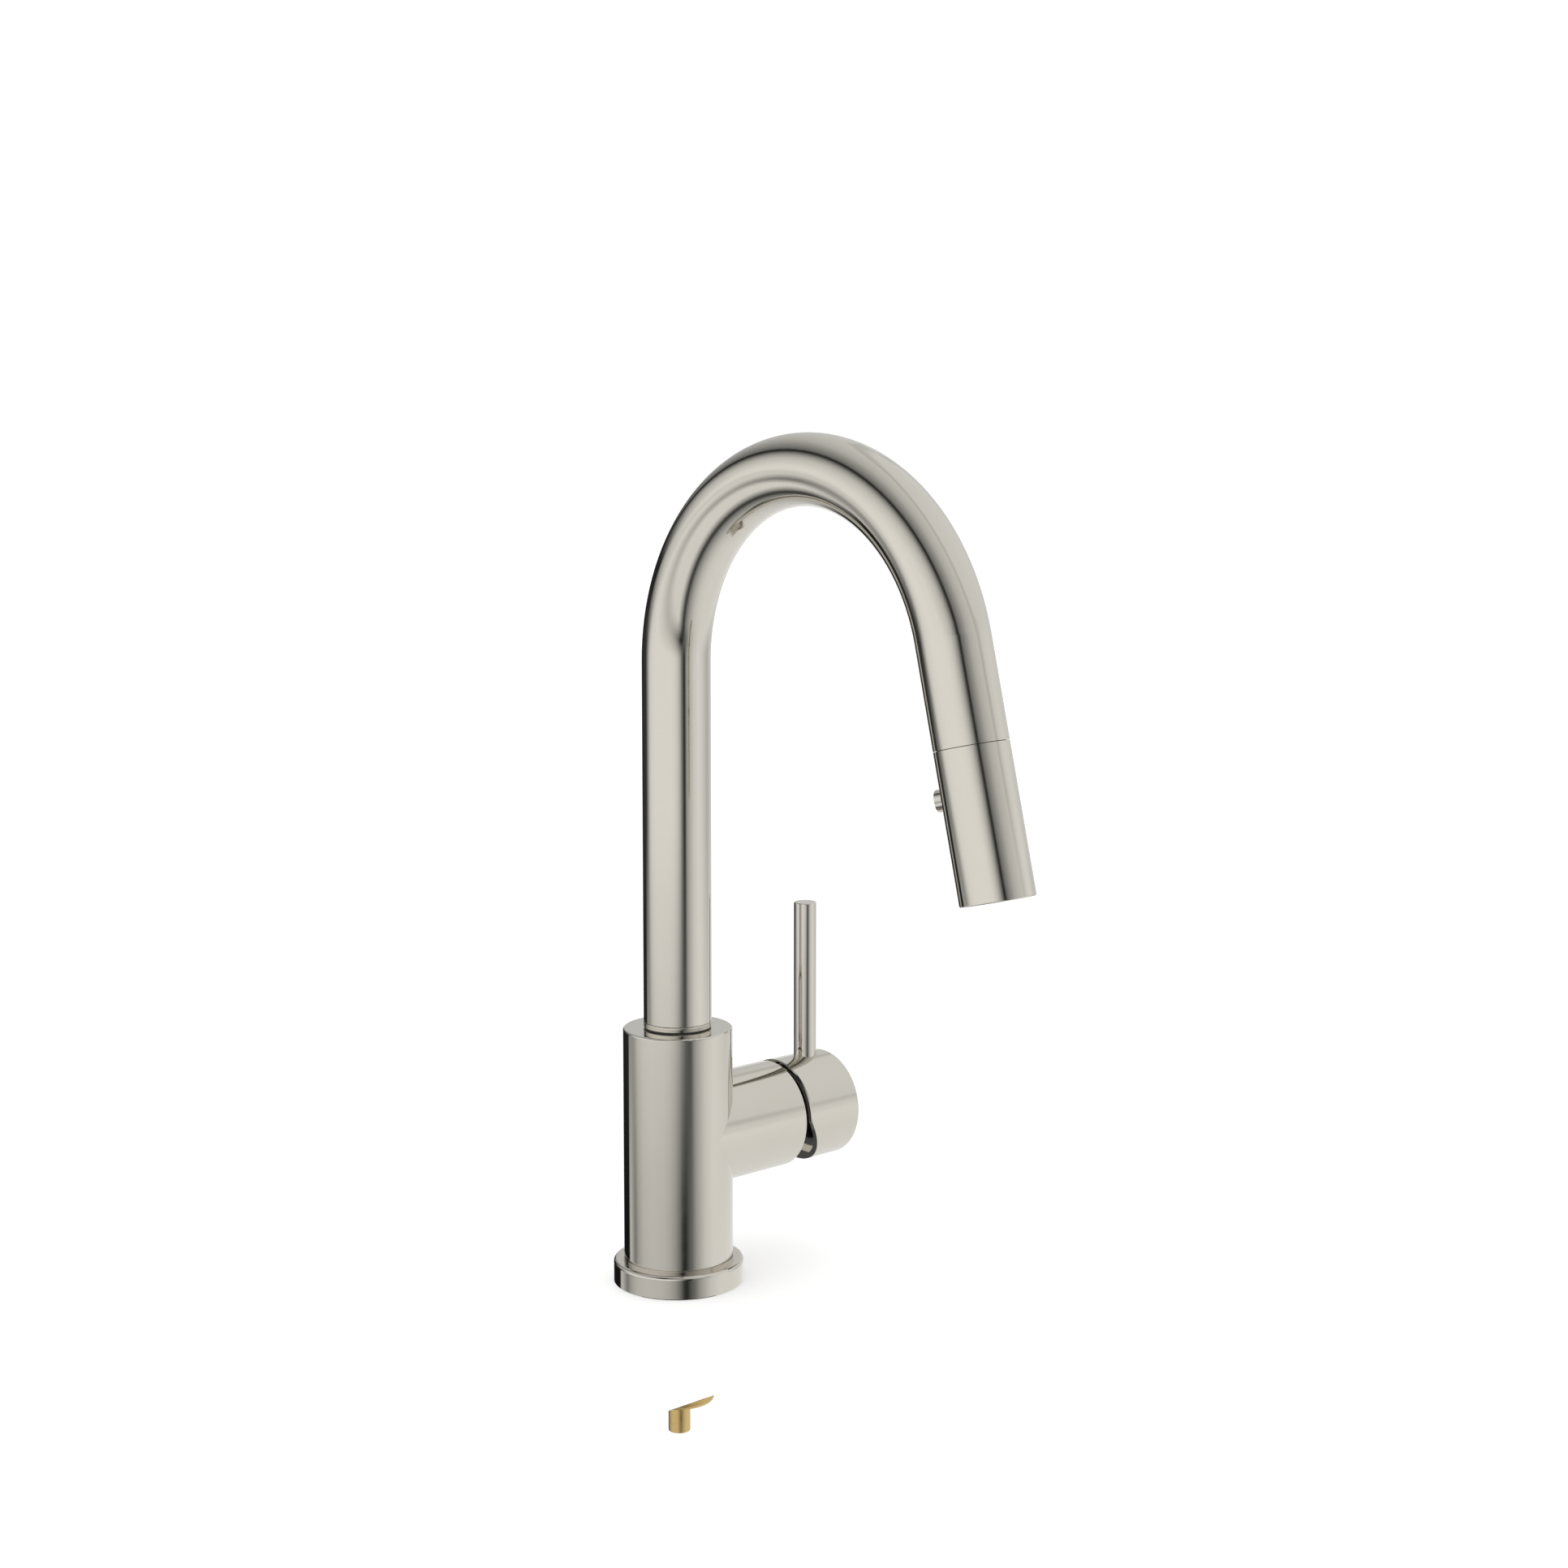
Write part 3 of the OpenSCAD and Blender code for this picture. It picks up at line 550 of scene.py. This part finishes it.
BEND_RADIUS, BEND_ANGLE, BEND_HEIGHT = bend_facts()
WAND_START = Vector((0, -BEND_RADIUS * (1 - math.cos(BEND_ANGLE)),
                     BEND_HEIGHT + BEND_RADIUS * math.sin(BEND_ANGLE)))
# Turns +Z into the wand's own direction, with its place at the end of the bend.
WAND_FRAME = Matrix.Translation(WAND_START) @ Matrix.Rotation(BEND_ANGLE, 4, "X")


def along_wand(node):
    """How far a node lies along the wand's axis: (nearest, furthest) distance in metres."""
    marks = [(v.co - WAND_START).dot(WAND_AXIS) for v in NODES[node].data.vertices]
    return min(marks), max(marks)


def wand_radius(node):
    """The largest distance of a node's points from the wand's axis."""
    return max(((v.co - WAND_START) - (v.co - WAND_START).dot(WAND_AXIS) * WAND_AXIS).length
               for v in NODES[node].data.vertices)


def make_hose():
    """The braided hose from below the deck up through the spout."""
    low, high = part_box("hose")
    bore_share = 0.66
    hose = grow("braided_hose", bent_hose_tree(), {
        "Radius": high[0], "Bore": high[0] * bore_share, "Start height": low[2], "Bend height": BEND_HEIGHT,
        "Bend radius": BEND_RADIUS, "Bend angle": BEND_ANGLE, "Rings": 150, "Sides": 32},
        MATERIALS["braided_nylon"])
    stand_in(hose, "hose")


def make_hose_stretch():
    """The hose that follows the wand out, as a fixed tube. Its braid is drawn packed close, as the full pull's
    length lies gathered at rest.
    """
    near, far = along_wand("hose_tail")
    radius = wand_radius("hose_tail")
    ease = 0.4 * MM
    start, end = near + ease, far - ease
    rings, sides = 140, 32
    points = []
    marks = []
    for ring in range(rings + 1):
        along = near + (far - near) * ring / rings
        share = min(max((along - start) / (end - start), 0), 1)
        marks.append(along + PULL * share * share * (3 - 2 * share))
        for side in range(sides):
            turn = math.tau * side / sides
            points.append(WAND_FRAME @ Vector((radius * math.sin(turn), radius * math.cos(turn), along)))
    faces = []
    uvs = []
    for ring in range(rings):
        for side in range(sides):
            following = (side + 1) % sides
            faces.append((ring * sides + following, ring * sides + side,
                          (ring + 1) * sides + side, (ring + 1) * sides + following))
            uvs += [((side + 1) / sides, marks[ring]), (side / sides, marks[ring]),
                    (side / sides, marks[ring + 1]), ((side + 1) / sides, marks[ring + 1])]
    faces.append(tuple(range(sides)))
    faces.append(tuple(reversed(range(rings * sides, (rings + 1) * sides))))
    uvs += [(0.5, marks[0])] * sides + [(0.5, marks[-1])] * sides
    mesh = bpy.data.meshes.new("hose_stretch")
    mesh.from_pydata(points, [], faces)
    layer = mesh.uv_layers.new(name="UVMap")
    for loop, uv in zip(layer.data, uvs):
        loop.uv = uv
    mesh.materials.append(MATERIALS["braided_nylon"])
    stretch = finished("hose_stretch", mesh)
    WAND_START + WAND_AXIS * start
    WAND_START + WAND_AXIS * end
    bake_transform(stretch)
    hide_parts("hose_tail")


def make_threads():
    """The mounting shank with its real thread below the deck."""
    low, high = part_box("shank")
    wall = 2.0 * MM
    plain_top = 3.0 * MM
    crease = 60.0
    shank = grow("threaded_shank", threaded_tube_tree(), {
        "Crest radius": high[0], "Bore": high[0] - wall, "Start": low[2], "Length": high[2] - low[2],
        "Thread end": -low[2] - plain_top, "Pitch": 2.0 * MM, "Depth": 0.7 * MM,
        "Rings": 312, "Sides": 64}, MATERIALS["brass"], crease)
    stand_in(shank, "shank")


def make_nozzles():
    """The rubber nozzles round the spray face."""
    near, far = along_wand("rubber_nozzles")
    nozzle_radius = 0.9 * MM
    circle = wand_radius("rubber_nozzles") - nozzle_radius
    nozzles = grow("spray_nozzles", nozzle_ring_tree(), {
        "Circle radius": circle, "Nozzle radius": nozzle_radius, "Bore": 0.35 * MM, "Web start": near,
        "Web thickness": 1.2 * MM, "Web width": 1.7 * MM, "Tip": far, "Count": 20, "Rings": 6, "Sides": 16},
        MATERIALS["black_rubber"])
    nozzles.data.transform(WAND_FRAME)
    stand_in(nozzles, "rubber_nozzles")


def make_screen():
    """The aerator's wire screen."""
    near, far = along_wand("aerator_mesh")
    radius = wand_radius("aerator_mesh")
    pitch = 0.95 * MM
    screen = grow("aerator_screen", wire_screen_tree(), {
        "Radius": radius, "Rim width": 0.5 * MM, "Pitch": pitch, "Wire radius": 0.14 * MM,
        "Height": (near + far) / 2, "Rim thickness": far - near, "Wires": int(2 * radius / pitch),
        "Sides": 48}, MATERIALS["stainless_steel"])
    screen.data.transform(WAND_FRAME)
    stand_in(screen, "aerator_mesh")


# ---------------------------------------------------------------- studio
CAMERA_PLACE = (-0.74631, -0.89196, 0.40580)
CAMERA_AZIMUTH = math.radians(-42.37)
CAMERA_PITCH = math.radians(5.84)
CAMERA_LENS = 58.13
CAMERA_SHIFT = -0.0699


def make_camera():
    """The camera, a little above the spout and to the left of the front."""
    data = bpy.data.cameras.new("camera")
    data.lens = CAMERA_LENS
    data.shift_y = CAMERA_SHIFT
    camera = bpy.data.objects.new("camera", data)
    camera.location = CAMERA_PLACE
    camera.rotation_euler = (math.pi / 2 - CAMERA_PITCH, 0, CAMERA_AZIMUTH)
    bpy.context.scene.collection.objects.link(camera)
    bpy.context.scene.camera = camera


# The studio as polished metal sees it. Each list gives the brightness round the set, by the
# angle in degrees from the camera's side, rising to the right: a black flag stands just right
# of the camera and another behind the set on the left, between broad pale screens.
ROUND_LOW = [(-168, 0.90), (-164, 0.01), (-125, 0.01), (-120, 0.72), (-111, 0.50), (-101, 0.26),
             (-90, 0.50), (-76, 0.66), (-55, 0.71), (-28, 0.67), (-14, 0.56), (-4, 0.42), (5, 0.22),
             (12, 0.04), (18, 0.03), (24, 0.12), (32, 0.22), (41, 0.46), (60, 0.80), (80, 0.94),
             (150, 0.95)]
ROUND_MID = [(-168, 0.90), (-162, 0.02), (-118, 0.05), (-108, 0.35), (-100, 0.75), (-91, 0.95),
             (-72, 1.02), (-14, 1.02), (-4, 0.96), (5, 0.86), (13, 0.64), (20, 0.28), (26, 0.05),
             (31, 0.05), (36, 0.42), (46, 0.62), (62, 0.86), (80, 0.98), (94, 0.92), (124, 0.62),
             (150, 0.75)]
ROUND_HIGH = [(-168, 0.90), (-162, 0.02), (-126, 0.02), (-116, 0.50), (-102, 0.98), (-84, 1.05),
              (-16, 1.02), (-5, 0.85), (4, 0.55), (11, 0.20), (17, 0.02), (24, 0.02), (28, 0.22),
              (36, 0.31), (48, 0.50), (62, 0.70), (80, 0.86), (104, 0.98), (124, 0.86), (150, 0.76)]
# Each further list takes over between two heights above the horizon, in degrees.
LEVELS = [(-28.0, -20.0, ROUND_LOW), (-18.0, -9.0, ROUND_MID), (-4.0, 2.0, ROUND_HIGH)]
# Two long dark edges cross the studio, one over the set and one under it. Each lies in a plane
# through the set, given by its normal with +X towards the camera and +Y to the right, and each
# list gives the brightness by the angle in degrees from that plane.
OVER_NORMAL = Vector((0.369, -0.693, -0.620)).normalized()
OVER = [(-90, 0.88), (-54, 0.84), (-50, 0.66), (-47, 0.62), (-44, 0.76), (-35, 0.70), (-25, 0.60),
        (-19, 0.47), (-13, 0.36), (-8, 0.27), (-4, 0.20), (-1, 0.03), (2, 0.03), (5, 0.18), (9, 0.38),
        (13, 0.55), (19, 0.74), (26, 0.86), (36, 1.0), (90, 1.0)]
OVER_HEIGHTS = (4.0, 14.0)
UNDER_NORMAL = Vector((-0.442, 0.757, -0.465)).normalized()
UNDER = [(-90, 0.90), (-40, 0.95), (-14, 0.92), (-10, 0.67), (-5, 0.36), (-1, 0.10), (3, 0.06),
         (7, 0.22), (13, 0.40), (20, 0.56), (28, 0.72), (41, 0.86), (60, 0.92), (90, 0.92)]
ROOM_LIGHT = 1.1
# The worktop glows a little, so that it stays white and keeps only a faint contact shadow.
FLOOR_GLOW = 0.22
FLOOR_HALF = 6.0
SINK_X = (-0.36, 0.36)
SINK_Y = (-0.62, -0.12)


def degrees_ramp(tree, angle, reach, stops):
    """A ramp whose stops are given in degrees, over an angle in radians from -reach to reach."""
    share = spread(tree, angle, -math.radians(reach), math.radians(reach), 0.0, 1.0)
    return ramp(tree, share, [((place / reach + 1) / 2, float(value)) for place, value in stops])


def edge_brightness(tree, direction, normal, stops):
    """The brightness of a direction by its angle from the plane with this normal."""
    share = add(tree, "ShaderNodeVectorMath", {0: direction, 1: normal}, operation="DOT_PRODUCT")
    angle = add(tree, "ShaderNodeMath", {0: share.outputs["Value"]}, operation="ARCSINE")
    return degrees_ramp(tree, angle.outputs[0], 90, stops)


def take_over(tree, height, bottom, top, below, above):
    """Blends two brightnesses between two heights in degrees."""
    share = spread(tree, height, math.radians(bottom), math.radians(top), 0.0, 1.0)
    return add(tree, "ShaderNodeMix", {"Factor": share, 6: below, 7: above}, data_type="RGBA").outputs[2]


def make_world():
    """A white room whose screens and black flags show only in reflections."""
    world = bpy.data.worlds.new("studio")
    world.use_nodes = True
    tree = world.node_tree
    back = math.atan2(-math.cos(CAMERA_AZIMUTH), math.sin(CAMERA_AZIMUTH))
    direction = add(tree, "ShaderNodeTexCoord").outputs["Generated"]
    turned = add(tree, "ShaderNodeMapping", {"Vector": direction, "Rotation": (0, 0, -back)})
    axes = add(tree, "ShaderNodeSeparateXYZ", {"Vector": turned.outputs["Vector"]})
    angle = add(tree, "ShaderNodeMath", {0: axes.outputs["Y"], 1: axes.outputs["X"]}, operation="ARCTAN2")
    height = add(tree, "ShaderNodeMath", {0: axes.outputs["Z"]}, operation="ARCSINE")
    around = edge_brightness(tree, turned.outputs["Vector"], UNDER_NORMAL, UNDER)
    for bottom, top, stops in LEVELS:
        there = degrees_ramp(tree, angle.outputs[0], 180, stops)
        around = take_over(tree, height.outputs[0], bottom, top, around, there)
    over = edge_brightness(tree, turned.outputs["Vector"], OVER_NORMAL, OVER)
    around = take_over(tree, height.outputs[0], *OVER_HEIGHTS, around, over)
    reflected = add(tree, "ShaderNodeBackground", {"Color": around, "Strength": 1.0})
    room = add(tree, "ShaderNodeBackground", {"Color": (1, 1, 1, 1), "Strength": ROOM_LIGHT})
    glossy = add(tree, "ShaderNodeLightPath").outputs["Is Glossy Ray"]
    mixed = add(tree, "ShaderNodeMixShader", {"Fac": glossy, 1: room.outputs[0], 2: reflected.outputs[0]})
    link(tree, mixed.outputs[0], tree.nodes["World Output"], "Surface")
    bpy.context.scene.world = world


def make_floor():
    """A white worktop, open in front of the faucet where the sink lies, and clear from below."""
    xs = (-FLOOR_HALF, *SINK_X, FLOOR_HALF)
    ys = (-FLOOR_HALF, *SINK_Y, FLOOR_HALF)
    corners = [(x, y, 0) for y in ys for x in xs]
    faces = [(4 * row + column, 4 * row + column + 1, 4 * row + column + 5, 4 * row + column + 4)
             for row in range(3) for column in range(3) if (row, column) != (1, 1)]
    mesh = bpy.data.meshes.new("worktop")
    mesh.from_pydata(corners, [], faces)
    floor = bpy.data.objects.new("worktop", mesh)
    bpy.context.scene.collection.objects.link(floor)
    material, tree, principled = shader("worktop_white")
    principled.inputs["Base Color"].default_value = (0.9, 0.9, 0.9, 1)
    principled.inputs["Roughness"].default_value = 0.9
    principled.inputs["Specular IOR Level"].default_value = 0.0
    principled.inputs["Emission Color"].default_value = (1, 1, 1, 1)
    principled.inputs["Emission Strength"].default_value = FLOOR_GLOW
    below = add(tree, "ShaderNodeNewGeometry").outputs["Backfacing"]
    clear = add(tree, "ShaderNodeBsdfTransparent")
    mixed = add(tree, "ShaderNodeMixShader", {"Fac": below, 1: principled.outputs["BSDF"],
                                              2: clear.outputs["BSDF"]})
    link(tree, mixed.outputs["Shader"], tree.nodes["Material Output"], "Surface")
    mesh.materials.append(material)
    floor.visible_glossy = False


make_camera()
make_world()
make_floor()
dress_frame()
make_hose()
make_hose_stretch()
make_threads()
make_nozzles()
make_screen()
bpy.context.scene.view_settings.view_transform = "Standard"
